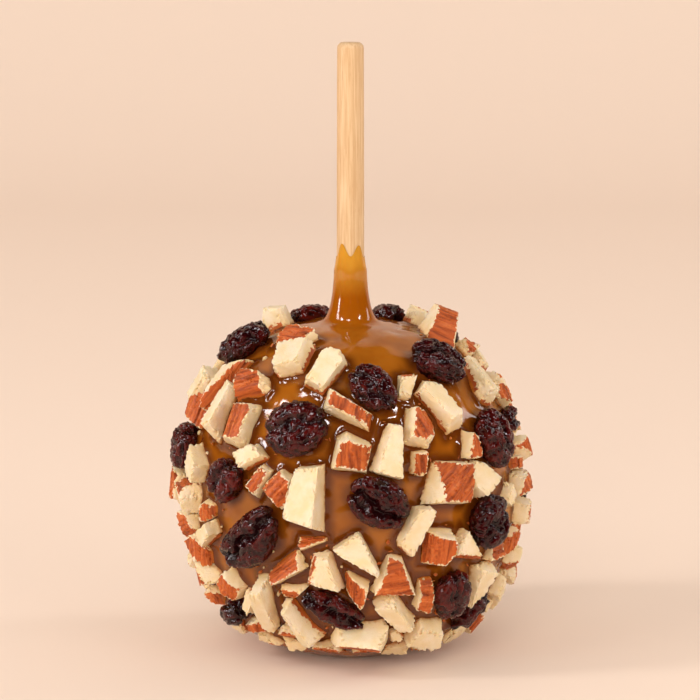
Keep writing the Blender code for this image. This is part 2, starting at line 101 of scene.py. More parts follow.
GRADIENTS = np.random.default_rng(5).normal(size=(32, 32, 32, 3))
GRADIENTS /= np.linalg.norm(GRADIENTS, axis=3, keepdims=True)


def noise(points, seed=0.0):
    """Smooth noise, about -1 to 1, at points measured in its cells."""
    moved = np.asarray(points) + np.array([13.7, 7.3, 21.1]) * (seed + 1)
    cell = np.floor(moved).astype(int)
    part = moved - cell
    fade = part**3 * (part * (part * 6 - 15) + 10)
    total = np.zeros(len(moved))
    for corner in itertools.product((0, 1), repeat=3):
        corner = np.array(corner)
        x, y, z = ((cell + corner) % 32).T
        weight = np.prod(np.where(corner == 1, fade, 1 - fade), axis=1)
        total += weight * ((part - corner) * GRADIENTS[x, y, z]).sum(axis=1)
    return total * 1.7


# ---------------------------------------------------------------- meshes


def welded(obj):
    """The corners in mm and the triangles of a CAD node, with shared corners joined."""
    form = bmesh.new()
    form.from_mesh(obj.data)
    bmesh.ops.remove_doubles(form, verts=form.verts, dist=2e-6)
    form.verts.index_update()
    corners = np.array([v.co[:] for v in form.verts]) / MM
    triangles = np.array([[v.index for v in f.verts] for f in form.faces])
    form.free()
    return corners, triangles


def make_mesh(name, points, triangles, material, crisp=0, **fields):
    """A smooth object from points in mm, sharp where its faces turn by more than `crisp` degrees.

    Each field has one number or one vector per point.
    """
    mesh = bpy.data.meshes.new(name)
    mesh.from_pydata((np.asarray(points) * MM).tolist(), [], np.asarray(triangles).tolist())
    for field, values in fields.items():
        values = np.asarray(values, dtype=np.float32)
        kind, slot = ("FLOAT_VECTOR", "vector") if values.ndim == 2 else ("FLOAT", "value")
        mesh.attributes.new(field, kind, "POINT").data.foreach_set(slot, values.ravel())
    mesh.shade_smooth()
    if crisp:
        mesh.set_sharp_from_angle(angle=math.radians(crisp))
    mesh.materials.append(material)
    obj = bpy.data.objects.new(name, mesh)
    bpy.context.scene.collection.objects.link(obj)
    return obj


def merged(forms):
    """Several (points, triangles, fields) as one."""
    points, triangles, fields, start = [], [], {}, 0
    for some_points, some_triangles, some_fields in forms:
        points.append(some_points)
        triangles.append(some_triangles + start)
        start += len(some_points)
        for field, values in some_fields.items():
            fields.setdefault(field, []).append(values)
    return np.vstack(points), np.vstack(triangles), {k: np.concatenate(v) for k, v in fields.items()}


BALLS = {}


def cube_ball(steps):
    """A cube's surface in a grid of so many steps a side, as points and triangles with joined borders."""
    if steps in BALLS:
        return BALLS[steps]
    line = np.tan(np.linspace(-1, 1, steps + 1) * math.pi / 4)
    u, v = (g.ravel() for g in np.meshgrid(line, line, indexing="ij"))
    w = np.ones_like(u)
    i, j = (g.ravel() for g in np.meshgrid(np.arange(steps), np.arange(steps), indexing="ij"))
    a = i * (steps + 1) + j
    b, c, d = a + steps + 1, a + steps + 2, a + 1
    quads = np.stack((a, b, c, d), axis=1)
    points, faces = [], []
    for side, (axes, flip) in enumerate(
        (((u, v, w), 0), ((u, v, -w), 1), ((w, u, v), 0), ((-w, u, v), 1), ((v, w, u), 0), ((v, -w, u), 1))
    ):
        points.append(np.stack(axes, axis=1))
        faces.append((quads[:, ::-1] if flip else quads) + side * len(u))
    points, faces = np.vstack(points), np.vstack(faces)
    _, first, same = np.unique(np.round(points, 6), axis=0, return_index=True, return_inverse=True)
    faces = same.ravel()[faces]
    triangles = np.vstack((faces[:, (0, 1, 2)], faces[:, (0, 2, 3)]))
    BALLS[steps] = points[first], triangles
    return BALLS[steps]


def smoothed(values, triangles, times):
    """Each value becomes the mean of its neighbours', so many times."""
    pairs = np.vstack((triangles[:, (0, 1)], triangles[:, (1, 2)], triangles[:, (2, 0)]))
    pairs = np.vstack((pairs, pairs[:, ::-1]))
    count = np.bincount(pairs[:, 0], minlength=len(values))
    for _ in range(times):
        total = np.bincount(pairs[:, 0], weights=values[pairs[:, 1]], minlength=len(values))
        values = total / count
    return values


# ---------------------------------------------------------------- the coat's outline from the CAD


def smooth_line(points, step):
    """A smooth curve through points, resampled at about this distance."""
    points = np.asarray(points, dtype=float)
    ends = np.vstack((2 * points[0] - points[1], points, 2 * points[-1] - points[-2]))
    curve = []
    for p0, p1, p2, p3 in zip(ends, ends[1:], ends[2:], ends[3:]):
        t0 = 0.0
        t1 = t0 + math.sqrt(np.linalg.norm(p1 - p0))
        t2 = t1 + math.sqrt(np.linalg.norm(p2 - p1))
        t3 = t2 + math.sqrt(np.linalg.norm(p3 - p2))
        for t in np.linspace(t1, t2, 24, endpoint=False):
            a1 = p0 * (t1 - t) / (t1 - t0) + p1 * (t - t0) / (t1 - t0)
            a2 = p1 * (t2 - t) / (t2 - t1) + p2 * (t - t1) / (t2 - t1)
            a3 = p2 * (t3 - t) / (t3 - t2) + p3 * (t - t2) / (t3 - t2)
            b1 = a1 * (t2 - t) / (t2 - t0) + a2 * (t - t0) / (t2 - t0)
            b2 = a2 * (t3 - t) / (t3 - t1) + a3 * (t - t1) / (t3 - t1)
            curve.append(b1 * (t2 - t) / (t2 - t1) + b2 * (t - t1) / (t2 - t1))
    curve.append(points[-1])
    curve = np.array(curve)
    along = np.concatenate(([0], np.cumsum(np.linalg.norm(np.diff(curve, axis=0), axis=1))))
    even = np.linspace(0, along[-1], int(along[-1] / step) + 1)
    return np.stack([np.interp(even, along, curve[:, k]) for k in (0, 1)], axis=1)


def lathe_rings(corners):
    """(radius, height) of the turned coat's rings, from collar to foot: many corners share each."""
    across = np.hypot(corners[:, 0], corners[:, 1])
    keys = np.round(np.stack((across, corners[:, 2]), axis=1), 2)
    rings, counts = np.unique(keys, axis=0, return_counts=True)
    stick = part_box("stick")
    bore = (stick[1][0] - stick[0][0]) / 2 / MM + 0.4
    rings = rings[(counts >= 5) & (rings[:, 0] > bore)]
    kept = []
    for ring in sorted(rings.tolist(), key=lambda r: (-r[1], r[0])):
        if not kept or math.dist(kept[-1], ring) > 0.6:
            kept.append(ring)
    return kept


coat_corners, coat_triangles = welded(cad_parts["coated_apple"])
rings = lathe_rings(coat_corners)
outline = smooth_line(rings, 0.25)
slope = np.gradient(outline, axis=0)
outline_normals = np.stack((-slope[:, 1], slope[:, 0]), axis=1)
outline_normals /= np.linalg.norm(outline_normals, axis=1, keepdims=True)


def on_coat(points):
    """For each point, how far it is outside the coat and the coat's outward direction there."""
    points = np.asarray(points)
    across = np.hypot(points[:, 0], points[:, 1])
    flat = np.stack((across, points[:, 2]), axis=1)
    nearest = np.empty(len(points), dtype=int)
    for start in range(0, len(points), 4000):
        part = flat[start:start + 4000]
        gaps = ((part[:, None, :] - outline[None, :, :]) ** 2).sum(axis=2)
        nearest[start:start + 4000] = gaps.argmin(axis=1)
    normal = outline_normals[nearest]
    height = ((flat - outline[nearest]) * normal).sum(axis=1)
    around = points[:, :2] / np.maximum(across, 1e-6)[:, None]
    return height, np.column_stack((around * normal[:, :1], normal[:, 1]))


# ---------------------------------------------------------------- pieces of almond


def flat_faces(corners, triangles):
    """The planes of a faceted form as (normal, distance), widest first."""
    a, b, c = (corners[triangles[:, k]] for k in range(3))
    cross = np.cross(b - a, c - a)
    area = np.linalg.norm(cross, axis=1) / 2
    wide = area > 1e-3
    normal = cross[wide] / (2 * area[wide, None])
    distance, area = (normal * a[wide]).sum(axis=1), area[wide]
    found = []
    for i in np.argsort(-area):
        for plane in found:
            if plane[0] @ normal[i] > 0.9995 and abs(plane[1] - distance[i]) < 0.05:
                plane[2] += area[i]
                break
        else:
            found.append([normal[i], distance[i], area[i]])
    found = [p for p in found if p[2] > 0.15 and (corners @ p[0]).max() < p[1] + 0.12]
    return [(p[0], p[1]) for p in sorted(found, key=lambda p: -p[2])]


def skin_chain(planes):
    """Indexes of the planes that stand in steps of the skin's angle: the almond's rounded outside."""
    steps = {}
    for i, j in itertools.combinations(range(len(planes)), 2):
        turn = math.acos(max(-1.0, min(1.0, planes[i][0] @ planes[j][0])))
        if abs(turn - SKIN_STEP) < math.radians(0.05):
            steps.setdefault(i, []).append(j)
            steps.setdefault(j, []).append(i)
    best = []
    for start in steps:
        chain = [start]
        while True:
            onward = [k for k in steps[chain[-1]] if k not in chain]
            if not onward:
                break
            chain.append(onward[0])
        if len(chain) > len(best):
            best = chain
    return best


class Arc:
    """The smooth rounded skin that the chain of flat faces stands for."""

    def __init__(self, planes, chain):
        first, last = planes[chain[0]], planes[chain[-1]]
        axis = np.cross(planes[chain[0]][0], planes[chain[1]][0])
        self.axis = axis / np.linalg.norm(axis)
        middle = first[0] + last[0]
        self.middle = middle / np.linalg.norm(middle)
        self.side = np.cross(self.axis, self.middle)
        self.half = math.acos(max(-1.0, min(1.0, first[0] @ last[0]))) / 2
        flat_radius = SKIN_RADIUS * math.cos(SKIN_STEP / 2) + 0.06
        spots = np.array([planes[k][1] - flat_radius for k in chain])
        normals = np.array([planes[k][0] for k in chain])
        self.centre = np.linalg.lstsq(normals, spots, rcond=None)[0]

    def height(self, points):
        """How far points are outside the skin."""
        moved = points - self.centre
        u, v = moved @ self.middle, moved @ self.side
        turn = np.arctan2(v, u)
        beyond = u * math.cos(self.half) + np.abs(v) * math.sin(self.half)
        return np.where(np.abs(turn) < self.half, np.hypot(u, v), beyond) - SKIN_RADIUS

    def outward(self, points):
        """The direction that leads straight away from the skin."""
        moved = points - self.centre
        turn = np.arctan2(moved @ self.side, moved @ self.middle)
        turn = np.clip(turn, -self.half, self.half)[:, None]
        return np.cos(turn) * self.middle + np.sin(turn) * self.side

    def grain(self, points):
        """Distance round the skin and along it."""
        moved = points - self.centre
        turn = np.arctan2(moved @ self.side, moved @ self.middle)
        return turn * SKIN_RADIUS, moved @ self.axis


def drawn_to_edges(points, heights_at, ways, reach):
    """Points that lie within reach of an edge between two faces move onto it, so that it stays crisp."""
    every = np.arange(len(points))
    for _ in range(2):
        heights = heights_at(points)
        order = np.argsort(-heights, axis=1)
        first, second = order[:, 0], order[:, 1]
        h1, h2 = heights[every, first], heights[every, second]
        n1, n2 = ways[every, first], ways[every, second]
        lean = (n1 * n2).sum(axis=1)
        sine = np.sqrt(np.maximum(1 - lean**2, 1e-6))
        close = (h1 - h2 < reach * sine) & (np.abs(lean) < 0.94)
        back = n1 * ((h1 - lean * h2) / sine**2)[:, None] + n2 * ((h2 - lean * h1) / sine**2)[:, None]
        points = np.where(close[:, None], points - back, points)
    return points


def fine_almond(planes, inside, number):
    """A piece of almond with soft ragged edges and ridged skin, within the planes of its CAD solid."""
    chance = np.random.default_rng(900 + number)
    _, out = on_coat([inside])
    out = out[0]
    chain = skin_chain(planes)
    arc = Arc(planes, chain) if len(chain) > 1 else None
    cuts = [p for k, p in enumerate(planes) if arc is None or k not in chain]
    normals = np.array([p[0] for p in cuts])
    depths = np.array([p[1] for p in cuts]) - normals @ inside

    sides = [n for n in normals if abs(n @ out) < 0.6]
    along = (sides[0] if sides else normals[0]) + 0.0
    along -= out * (along @ out)
    along /= np.linalg.norm(along)
    axes = np.array([along, np.cross(out, along), out])
    every = np.array([p[0] for p in planes])
    rooms = np.array([p[1] for p in planes]) - every @ inside
    half = []
    for axis in axes:
        reach = 0
        for way in (axis, -axis):
            facing = every @ way
            ahead = facing > 0.05
            reach += (rooms[ahead] / facing[ahead]).min() / 2
        half.append(reach)
    half = np.array(half)
    area = 8 * (half[0] * half[1] + half[1] * half[2] + half[2] * half[0])
    edge = ALMOND_EDGE if inside[1] < 6 else BACK_EDGE
    grid, triangles = cube_ball(max(7, round(math.sqrt(area / 6) / edge)))
    rays = (grid * half) @ axes
    rays /= np.linalg.norm(rays, axis=1, keepdims=True)

    facing = rays @ every.T
    with np.errstate(divide="ignore"):
        limits = np.where(facing > 1e-6, rooms / np.maximum(facing, 1e-6), np.inf)
    furthest = limits.min(axis=1)
    rough_spot = inside + rays * furthest[:, None]
    fields = [noise(rough_spot / 2.4, number + k) + 0.35 * noise(rough_spot / 0.9, number - k) for k in range(4)]
    two_highest = np.sort(facing * furthest[:, None] - rooms, axis=1)[:, -2:]
    from_edge = two_highest[:, 1] - two_highest[:, 0]
    teeth = 1.5 * noise(rough_spot / CHIP_SIZE, number * 0.37) + 0.7 * noise(rough_spot / 0.5, number) + 0.1
    teeth = np.clip(teeth, 0, 1)
    chips = CHIP_DEPTH * teeth * np.exp(-((from_edge / CHIP_WIDTH) ** 2))
    worn = np.zeros((len(rays), len(cuts)))
    for k, normal in enumerate(normals):
        lying = abs(float(normal @ out))
        rough = CUT_ROUGHNESS + (SIDE_ROUGHNESS - CUT_ROUGHNESS) * (1 - lying) ** 0.7 * chance.uniform(0.45, 1.1)
        worn[:, k] = rough * 0.5 * fields[k % 4] + chips
    if arc:
        across, lengthways = arc.grain(rough_spot)
        wander = noise(np.column_stack((lengthways / 3.5, across / 3, np.full(len(rays), number))), 3) * 0.55
        lines = np.column_stack(((across + wander) / 0.85, lengthways / 8, np.full(len(rays), number * 1.3)))
        ridges = 1 - np.abs(noise(lines, 8)) * 1.7
        skin_worn = SKIN_RIDGES * ridges + 0.05 * fields[0] + 0.6 * chips
    else:
        down = [float(n @ [0, 0, -1]) - 2.0 * abs(float(n @ out)) for n in normals]
        skin_cuts = [int(np.argmax(down))]
        others = [k for k, n in enumerate(normals) if abs(float(n @ out)) < 0.5 and k != skin_cuts[0]]
        if others and chance.random() < 0.7:
            skin_cuts.append(others[chance.integers(len(others))])

    def heights_at(here):
        heights = (here - inside) @ normals.T - depths + worn
        return np.column_stack((heights, arc.height(here) + skin_worn)) if arc else heights

    low, high = furthest * 0.25, furthest + 0.5
    for _ in range(14):
        middle = (low + high) / 2
        within = heights_at(inside + rays * middle[:, None]).max(axis=1) < 0
        low, high = np.where(within, middle, low), np.where(within, high, middle)
    points = inside + rays * low[:, None]
    ways = np.broadcast_to(normals, (len(points), *normals.shape))
    if arc:
        ways = np.concatenate((ways, arc.outward(points)[:, None, :]), axis=1)
    points = drawn_to_edges(points, heights_at, ways, edge * 0.5)
    heights = heights_at(points)
    skin_cuts = [len(cuts)] if arc else skin_cuts
    skin = heights[:, skin_cuts].max(axis=1) - np.delete(heights, skin_cuts, axis=1).max(axis=1)
    if not arc:
        skin = np.minimum(skin, 1.1 - 0.7 * on_coat(points)[0])
    across, lengthways = arc.grain(points) if arc else (points @ axes[0], points @ axes[1])
    grain = np.column_stack((across + number * 3.1, lengthways, np.full(len(points), number * 1.7)))
    return points, triangles, {"skin": skin, "grain": grain}


def joined_almonds(corners, triangles):
    """The pieces that the CAD joins to the coat: groups of linked corners that stand clear of it."""
    height, _ = on_coat(corners)
    stands = height > 0.7
    group = np.where(stands, np.arange(len(corners)), -1)
    changed = True
    touching = triangles[stands[triangles].any(axis=1)]
    while changed:
        before = group.copy()
        for a, b in ((0, 1), (1, 2), (2, 0)):
            one, other = touching[:, a], touching[:, b]
            both = stands[one] & stands[other]
            one, other = one[both], other[both]
            least = np.minimum(group[one], group[other])
            np.minimum.at(group, one, least)
            np.minimum.at(group, other, least)
        changed = bool((group != before).any())
    pieces = []
    for label in np.unique(group[stands]):
        if (group == label).sum() < 3:
            continue
        faces = touching[(group[touching] == label).any(axis=1)]
        pieces.append(faces)
    return pieces, touching


def almond_forms():
    """Every piece of almond: the CAD's own nodes, then those joined to the coat."""
    forms, walls = [], []
    number = 0
    for name in sorted(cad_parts):
        if name.startswith("almond"):
            corners, triangles = welded(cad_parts[name])
            forms.append((name, fine_almond(flat_faces(corners, triangles), corners.mean(axis=0), number)))
            walls.append((corners, triangles))
            number += 1
    pieces, touching = joined_almonds(coat_corners, coat_triangles)
    for faces in pieces:
        used = np.unique(faces)
        corners = coat_corners[used]
        height, out = on_coat(corners)
        out = out.mean(axis=0)
        out /= np.linalg.norm(out)
        relabel = np.zeros(len(coat_corners), dtype=int)
        relabel[used] = np.arange(len(used))
        planes = flat_faces(corners, relabel[faces])
        tall = corners[height > 0.7]
        inside = tall.mean(axis=0) - out * 0.35 * height.max()
        foot = corners.mean(axis=0)
        foot_height, _ = on_coat([foot])
        planes.append((-out, float(-out @ (foot - out * (foot_height[0] + SUNK)))))
        if len(planes) < 5 or min(d - n @ inside for n, d in planes) < 0.25:
            print("left out: almond at", np.round(inside, 1), len(planes), "planes")
            continue
        forms.append((None, fine_almond(planes, inside, number)))
        number += 1
    walls.append((coat_corners, touching))
    return forms, walls


# ---------------------------------------------------------------- dried cherries


def fine_cherry(corners, triangles, number):
    """A dried cherry: its CAD form made smooth, then wrinkled, with one deeper fold."""
    chance = np.random.default_rng(300 + number)
    centre = corners.mean(axis=0)
    _, _, turned = np.linalg.svd(corners - centre, full_matrices=False)
    half = np.abs((corners - centre) @ turned.T).max(axis=0)
    area = 4 * math.pi * float(np.prod(half)) ** (2 / 3)
    edge = CHERRY_EDGE if centre[1] < 6 else BACK_CHERRY_EDGE
    grid, faces = cube_ball(max(10, round(math.sqrt(area / 6) / edge)))
    if np.linalg.det(turned) < 0:
        turned[2] = -turned[2]
    ball = grid / np.linalg.norm(grid, axis=1, keepdims=True)
    rays = (ball * half) @ turned
    rays /= np.linalg.norm(rays, axis=1, keepdims=True)
    tree = BVHTree.FromPolygons(corners.tolist(), triangles.tolist())
    reach = np.array([tree.ray_cast(Vector(centre), Vector(r))[3] for r in rays])
    unit = (ball * half) @ turned
    share = reach / np.linalg.norm(unit, axis=1)
    share = smoothed(share, faces, 14 if FINE else 6)
    smooth = centre + unit * share[:, None]
    normal = surface_normals(smooth, faces)
    cell = chance.uniform(1.3, 2.0)
    own = (smooth - centre) @ turned.T
    warp = np.column_stack([noise(own / 2.8, number + k) for k in (1, 2, 3)]) * 1.3
    bent = (own + warp) * (0.55, 1.0, 1.0)
    hollows = np.abs(noise(bent / cell, number * 0.7)) ** 0.8
    fine = np.abs(noise(bent / (cell * 0.45), number * 0.7 + 5))
    across = (smooth - centre) @ turned[1]
    meander = noise(smooth / 4.0, number + 0.5) * 2.0 + chance.uniform(-1.5, 1.5)
    fold = np.exp(-(((across - meander) / 0.9) ** 2)) * chance.uniform(0.4, 1.8)
    height = 0.2 - hollows * 1.05 - fine * 0.22 - fold
    points = smooth + normal * height[:, None]
    tint = np.full(len(points), chance.uniform(0, 1) ** 2)
    # The relief height goes to the shader for colour only: painted shade in the hollows and folds, painted glow on the
    # ridges.
    return points, faces, {"wrinkle_shading": 0.8 - hollows - 0.3 * fine - 0.5 * fold, "tint": tint}


def surface_normals(points, triangles):
    a, b, c = (points[triangles[:, k]] for k in range(3))
    cross = np.cross(b - a, c - a)
    normals = np.zeros_like(points)
    for k in range(3):
        for axis in range(3):
            normals[:, axis] += np.bincount(triangles[:, k], weights=cross[:, axis], minlength=len(points))
    return normals / np.maximum(np.linalg.norm(normals, axis=1, keepdims=True), 1e-9)


# ---------------------------------------------------------------- caramel coat


def nearness_to(walls):
    """A search tree of all the toppings' surfaces."""
    corners, faces, start = [], [], 0
    for some_corners, some_triangles in walls:
        corners += some_corners.tolist()
        faces += (some_triangles + start).tolist()
        start += len(some_corners)
    return BVHTree.FromPolygons(corners, faces)


def coat_form(tree):
    """The coat: turned smooth, then rippled, climbing up every topping, with a thin film on the stick."""
    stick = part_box("stick")
    bare = (stick[1][0] - stick[0][0]) / 2 / MM
    rim = rings[0]
    film = [(bare + 0.1, rim[1] + FILM_RISE), (bare + 0.26, rim[1] + FILM_RISE * 0.6)]
    film += [(bare + 0.46, rim[1] + FILM_RISE * 0.2)]
    line = smooth_line(film + rings, 0.05)
    along = np.concatenate(([0], np.cumsum(np.linalg.norm(np.diff(line, axis=0), axis=1))))
    grow = 1 if FINE else 2
    rows, place = [0.0], 0.0
    while place < along[-1]:
        radius, height = (np.interp(place, along, line[:, k]) for k in (0, 1))
        pace = 0.42 if radius < 9 else 0.58
        if height < 9 and radius < 33:
            pace = 1.6
        place += pace * grow
        rows.append(min(place, along[-1]))
    columns = 432 // grow
    even = np.arange(columns) / columns * 2 * math.pi
    bearings = even - 0.5 * np.sin(even)
    radii = np.interp(rows, along, line[:, 0])[:, None]
    heights = np.interp(rows, along, line[:, 1])[:, None]
    sine, cosine = np.sin(bearings)[None, :], np.cos(bearings)[None, :]
    level = np.broadcast_to(heights, (len(rows), columns))
    points = np.stack((radii * sine, -radii * cosine, level), axis=2).reshape(-1, 3)
    i, j = (g.ravel() for g in np.meshgrid(np.arange(len(rows) - 1), np.arange(columns), indexing="ij"))
    a, b = i * columns + j, i * columns + (j + 1) % columns
    c, d = b + columns, a + columns
    triangles = np.vstack((np.column_stack((a, d, c)), np.column_stack((a, c, b))))
    normals = surface_normals(points, triangles)

    around = np.hypot(points[:, 0], points[:, 1])
    on_apple = np.clip((around - 7) / 6, 0, 1)
    ripple = 0.45 * noise(points / 8, 2) + 0.2 * noise(points / 4.2, 4)
    gap = np.full(len(points), FAR)
    for k in np.flatnonzero(points[:, 2] > 1.0):
        found = tree.find_nearest(Vector(points[k]), FAR)[3]
        if found is not None:
            gap[k] = found
    climb = MENISCUS * (1 + 0.9 * noise(points / 2.6, 6)) * np.exp(-gap / MENISCUS_WIDTH)
    grounded = np.clip(points[:, 2] / 4, 0, 1)
    lift = (on_apple * ripple + climb) * grounded
    foot = points[:, 2] < 0.05
    lift[foot] = 0
    points = points + normals * lift[:, None]
    points[:, 2] = np.maximum(points[:, 2], 0.0)

    film_top = rim[1] + FILM_RISE
    turn = np.arctan2(points[:, 0], -points[:, 1])
    front = np.clip(1.4 * np.cos(turn), 0, 1)
    edge = film_top - 3.2 + front * (1.6 - 1.4 * np.cos(5 * turn)) + 0.25 * np.cos(2 * turn + 1)
    high = np.clip((points[:, 2] - rim[1] + 1.0) / (FILM_RISE + 1.0), 0, 1)
    points[:, 2] -= high * (film_top - edge)
    return points, triangles, {"thick": around - bare, "gap": gap}


def almond_crumbs(tree):
    """Broken bits of almond and flakes of its skin, most of them against the feet of the toppings."""
    chance = np.random.default_rng(77)
    grid, faces = cube_ball(4)
    ball = grid / np.linalg.norm(grid, axis=1, keepdims=True)
    forms = []
    for _ in range(CRUMB_TRIES):
        if len(forms) == CRUMBS:
            break
        spot = chance.integers(len(outline))
        radius, height = outline[spot]
        if chance.random() > radius / 42 or not 1.5 < height < 76:
            continue
        turn = chance.normal(0, 1.1) if chance.random() < 0.7 else chance.uniform(-math.pi, math.pi)
        place = np.array([radius * math.sin(turn), -radius * math.cos(turn), height])
        gap = tree.find_nearest(Vector(place), FAR)[3]
        if gap is None or not 0.1 < gap < 2.4 or chance.random() < (gap / 2.4) ** 0.7 * (height / 80):
            continue
        is_flake = chance.random() < 0.82
        half = chance.uniform(0.28, 0.62) * np.array([1.3, chance.uniform(0.6, 1.0), 0.32 if is_flake else 0.7])
        turned, _ = np.linalg.qr(chance.normal(size=(3, 3)))
        rough = 1 + 0.35 * noise(ball * 1.6, len(forms))
        _, out = on_coat([place])
        points = place + out[0] * chance.uniform(0.15, 0.6) + (ball * half * rough[:, None]) @ turned
        triangles = faces if np.linalg.det(turned) > 0 else faces[:, ::-1]
        fields = {"skin": np.full(len(points), 1.0 if is_flake else -1.0), "grain": points}
        forms.append((points, triangles, fields))
    return merged(forms)


# ---------------------------------------------------------------- materials


def add(tree, kind, inputs=None, **settings):
    """A node with its settings, and each input linked to a socket or given a value."""
    node = tree.nodes.new(kind)
    for key, value in settings.items():
        setattr(node, key, value)
    for key, value in (inputs or {}).items():
        socket = node.inputs[key]
        if isinstance(value, bpy.types.NodeSocket):
            tree.links.new(value, socket)
        else:
            socket.default_value = value
    return node


def colour(red, green, blue):
    """A colour as it looks on a screen, 0 to 255, as a linear colour for a shader."""
    linear = [v / 12.92 if v <= 0.04045 else ((v + 0.055) / 1.055) ** 2.4 for v in (c / 255 for c in (red, green, blue))]
    return (*linear, 1.0)


def new_material(name, **values):
    made = bpy.data.materials.new(name)
    made.use_nodes = True
    tree = made.node_tree
    shader = tree.nodes["Principled BSDF"]
    for key, value in values.items():
        shader.inputs[key.replace("_", " ")].default_value = value
    return made, tree, shader


def object_mm(tree, scale):
    """Texture coordinates in mm, times a scale."""
    place = add(tree, "ShaderNodeTexCoord").outputs["Object"]
    factor = tuple(s / MM for s in scale)
    return add(tree, "ShaderNodeMapping", {"Vector": place, "Scale": factor}).outputs["Vector"]


def texture(tree, vector, detail=3.0, roughness=0.5, distortion=0.0):
    inputs = {"Vector": vector, "Scale": 1.0, "Detail": detail, "Roughness": roughness, "Distortion": distortion}
    return add(tree, "ShaderNodeTexNoise", inputs).outputs["Fac"]


def remap(tree, value, low, high, to_low=0.0, to_high=1.0, kind="SMOOTHSTEP"):
    inputs = {"Value": value, "From Min": low, "From Max": high, "To Min": to_low, "To Max": to_high}
    return add(tree, "ShaderNodeMapRange", inputs, interpolation_type=kind).outputs["Result"]


def blend(tree, factor, first, second, mode="MIX"):
    node = add(tree, "ShaderNodeMix", data_type="RGBA", blend_type=mode)
    for socket, value in zip((node.inputs[0], node.inputs[6], node.inputs[7]), (factor, first, second)):
        if isinstance(value, bpy.types.NodeSocket):
            tree.links.new(value, socket)
        else:
            socket.default_value = value
    return node.outputs[2]


def combined(tree, operation, first, second):
    node = add(tree, "ShaderNodeMath", operation=operation)
    for socket, value in zip(node.inputs, (first, second)):
        if isinstance(value, bpy.types.NodeSocket):
            tree.links.new(value, socket)
        else:
            socket.default_value = value
    return node.outputs[0]


def field(tree, name, output="Fac"):
    return add(tree, "ShaderNodeAttribute", attribute_name=name).outputs[output]


def bumped(tree, shader, height, distance, strength=1.0):
    inputs = {"Height": height, "Distance": distance * MM, "Strength": strength}
    normal = add(tree, "ShaderNodeBump", inputs).outputs["Normal"]
    tree.links.new(normal, shader.inputs["Normal"])


def almond_material():
    made, tree, shader = new_material("almond", Subsurface_Weight=0.4, Subsurface_Scale=0.001, Specular_IOR_Level=0.18)
    shader.inputs["Subsurface Radius"].default_value = (2.2, 1.6, 0.8)
    ragged = texture(tree, object_mm(tree, (1.1, 1.1, 1.1)), 4.0, 0.6)
    ragged = combined(tree, "MULTIPLY", combined(tree, "SUBTRACT", ragged, 0.5), 2.6)
    border = combined(tree, "ADD", field(tree, "skin"), ragged)
    is_skin = remap(tree, border, -0.05, 0.12)

    grain = field(tree, "grain", "Vector")
    lines = add(tree, "ShaderNodeMapping", {"Vector": grain, "Scale": (1.05, 0.13, 1.0)}).outputs["Vector"]
    streaks = texture(tree, lines, 3.0, 0.55, 0.5)
    mottle = texture(tree, object_mm(tree, (1.5, 1.5, 1.5)), 2.0)
    # Skin tones follow the streaks that also make its bump: the dark grooves are the skin's own dark lines, and the
    # lightest tone on the raised streaks is partly painted sheen.
    skin = blend(tree, remap(tree, streaks, 0.30, 0.54), colour(126, 55, 22), colour(180, 87, 37))
    skin = blend(tree, remap(tree, streaks, 0.50, 0.74), skin, colour(204, 114, 58))
    skin = blend(tree, remap(tree, mottle, 0.4, 0.75, 0.0, 0.35), skin, colour(154, 72, 40))

    soft = texture(tree, object_mm(tree, (0.35, 0.35, 0.35)), 2.0)
    flesh = blend(tree, remap(tree, soft, 0.3, 0.7), colour(227, 208, 178), colour(222, 198, 155))
    specks = texture(tree, object_mm(tree, (2.4, 2.4, 2.4)), 2.0)
    flesh = blend(tree, remap(tree, specks, 0.70, 0.80, 0.0, 0.3), flesh, colour(222, 172, 110))
    # Flesh turns darker and warmer within 4.2 mm of the coat: painted warm shade and caramel bounce round the feet.
    flesh = blend(tree, remap(tree, field(tree, "sunk"), 4.2, 0.4, 0.0, 0.6), flesh, colour(226, 186, 122))

    smear = combined(tree, "ADD", field(tree, "sunk"), combined(tree, "MULTIPLY", ragged, 0.6))
    wet = remap(tree, smear, 1.2, 0.2)
    base = blend(tree, is_skin, flesh, skin)
    base = blend(tree, remap(tree, smear, 1.2, 0.2, 0.0, 0.85), base, colour(176, 98, 30))
    tree.links.new(base, shader.inputs["Base Color"])
    dry = remap(tree, is_skin, 0.0, 1.0, 0.52, 0.44)
    tree.links.new(remap(tree, wet, 0.0, 1.0, dry, 0.2), shader.inputs["Roughness"])
    fibre = texture(tree, object_mm(tree, (2.2, 2.2, 2.2)), 3.0, 0.6)
    relief = blend(tree, is_skin, fibre, streaks)
    bumped(tree, shader, relief, 0.25, 0.6)
    return made


def cherry_material():
    made, tree, shader = new_material("dried_cherry", IOR=1.45, Roughness=0.04, Specular_IOR_Level=0.42)
    wrinkle_shading = field(tree, "wrinkle_shading")
    mottle = texture(tree, object_mm(tree, (0.5, 0.5, 0.5)), 2.0)
    # Red on the ridges and near black in the hollows and folds, mixed with random mottle: painted glow of light
    # through the thin ridges and painted shade in the hollows, over the cherry's own dark red.
    height = combined(tree, "ADD", combined(tree, "MULTIPLY", wrinkle_shading, 0.4), mottle)
    dark = blend(tree, field(tree, "tint"), colour(20, 2, 3), colour(34, 4, 5))
    light = blend(tree, field(tree, "tint"), colour(62, 8, 8), colour(98, 22, 15))
    base = blend(tree, remap(tree, height, 0.4, 1.0), dark, light)
    tree.links.new(base, shader.inputs["Base Color"])
    fine = texture(tree, object_mm(tree, (0.9, 0.9, 0.9)), 0.0, 0.5, 0.6)
    fine = combined(tree, "ABSOLUTE", combined(tree, "SUBTRACT", fine, 0.5), 0.0)
    bumped(tree, shader, remap(tree, fine, 0.14, 0.0), 0.09, 0.6)
    return made


